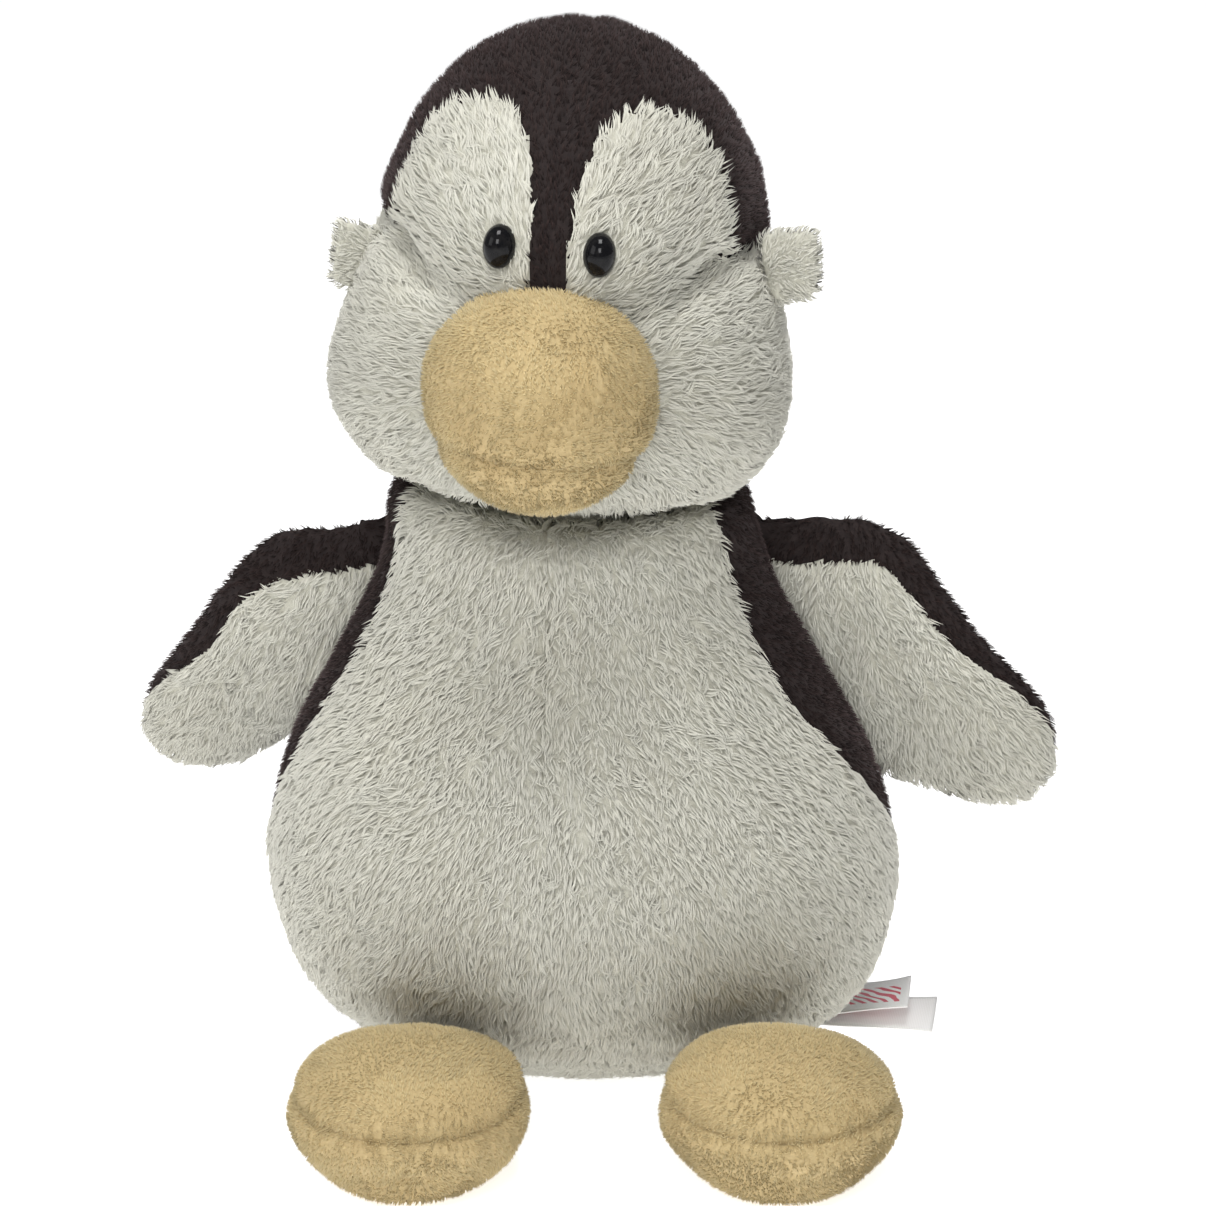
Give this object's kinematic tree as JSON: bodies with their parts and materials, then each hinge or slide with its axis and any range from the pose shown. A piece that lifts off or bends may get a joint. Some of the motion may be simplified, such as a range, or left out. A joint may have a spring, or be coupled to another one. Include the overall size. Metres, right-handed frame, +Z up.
{
  "type": "plush penguin",
  "caption": "Sitting stuffed penguin with a big round head, soft beak, paddle wings and bun feet, sewn from plush panels over stuffing.",
  "frame": {"origin": "centre of the flat face of the seat", "axes": "+Z up; the penguin looks along -Y; +X is its own left"},
  "size_m": [0.2175, 0.156, 0.2474],
  "materials": {
    "cream_plush": "long soft pile, brushed downwards",
    "brown_plush": "short dense pile with a faint sheen",
    "yellow_plush": "short terry-like pile",
    "stuffing": "polyester fibre filling",
    "bag_cloth": "plain woven lining",
    "pellets": "plastic pellets",
    "eye_plastic": "polished black",
    "washer_plastic": "moulded",
    "label_satin": "satin ribbon with plain woven marks"
  },
  "bodies": {
    "torso": {"seat_panel": "cream_plush", "belly_panel_left": "cream_plush", "belly_panel_right": "cream_plush", "back_panel_left": "brown_plush", "back_panel_right": "brown_plush", "body_stuffing": "stuffing", "pellet_bag": "bag_cloth", "pellet_fill": "pellets", "name_label": "label_satin", "care_label": "label_satin"},
    "neck": {"neck_stuffing": "stuffing"},
    "head": {"crown_left": "brown_plush", "crown_right": "brown_plush", "eye_patch_left": "cream_plush", "eye_patch_right": "cream_plush", "cheek_left": "cream_plush", "cheek_right": "cream_plush", "cheek_tuft_left": "cream_plush", "cheek_tuft_right": "cream_plush", "head_stuffing": "stuffing", "eye_left": "eye_plastic", "eye_right": "eye_plastic", "eye_washer_left": "washer_plastic", "eye_washer_right": "washer_plastic", "beak_upper": "yellow_plush", "beak_lower": "yellow_plush", "beak_stuffing": "stuffing"},
    "wing_left": {"wing_outer_left": "brown_plush", "wing_inner_left": "cream_plush", "wing_stuffing_left": "stuffing"},
    "foot_left": {"foot_upper_left": "yellow_plush", "foot_sole_left": "yellow_plush", "foot_stuffing_left": "stuffing"},
    "wing_right": {"wing_outer_right": "brown_plush", "wing_inner_right": "cream_plush", "wing_stuffing_right": "stuffing"},
    "foot_right": {"foot_upper_right": "yellow_plush", "foot_sole_right": "yellow_plush", "foot_stuffing_right": "stuffing"}
  },
  "joints": [
    {"name": "neck_turn", "type": "hinge", "parent": "torso", "child": "neck", "pos_m": [-0.005, -0.026, 0.197], "axis": [0, 0, 1], "range_deg": [-30, 30], "stiffness_Nm_per_rad": 0.02},
    {"name": "neck_nod", "type": "hinge", "parent": "neck", "child": "head", "pos_m": [-0.005, -0.026, 0.197], "axis": [0.9945, -0.1045, 0], "range_deg": [-8, 10], "stiffness_Nm_per_rad": 0.3},
    {"name": "wing_left_swing", "type": "hinge", "parent": "torso", "child": "wing_left", "pos_m": [0.05295, -0.006, 0.11], "axis": [-0.3764, 0, 0.9265], "range_deg": [-25, 20], "stiffness_Nm_per_rad": 0.01},
    {"name": "wing_right_swing", "type": "hinge", "parent": "torso", "child": "wing_right", "pos_m": [-0.06175, -0.006, 0.11], "axis": [0.3764, 0, 0.9265], "range_deg": [-6, 25], "stiffness_Nm_per_rad": 0.01},
    {"name": "foot_left_flex", "type": "hinge", "parent": "torso", "child": "foot_left", "pos_m": [0.0405, -0.056, 0.012], "axis": [1, 0, 0], "range_deg": [-8, 15], "stiffness_Nm_per_rad": 0.05},
    {"name": "foot_right_flex", "type": "hinge", "parent": "torso", "child": "foot_right", "pos_m": [-0.0405, -0.056, 0.012], "axis": [1, 0, 0], "range_deg": [-8, 15], "stiffness_Nm_per_rad": 0.05}
  ]
}
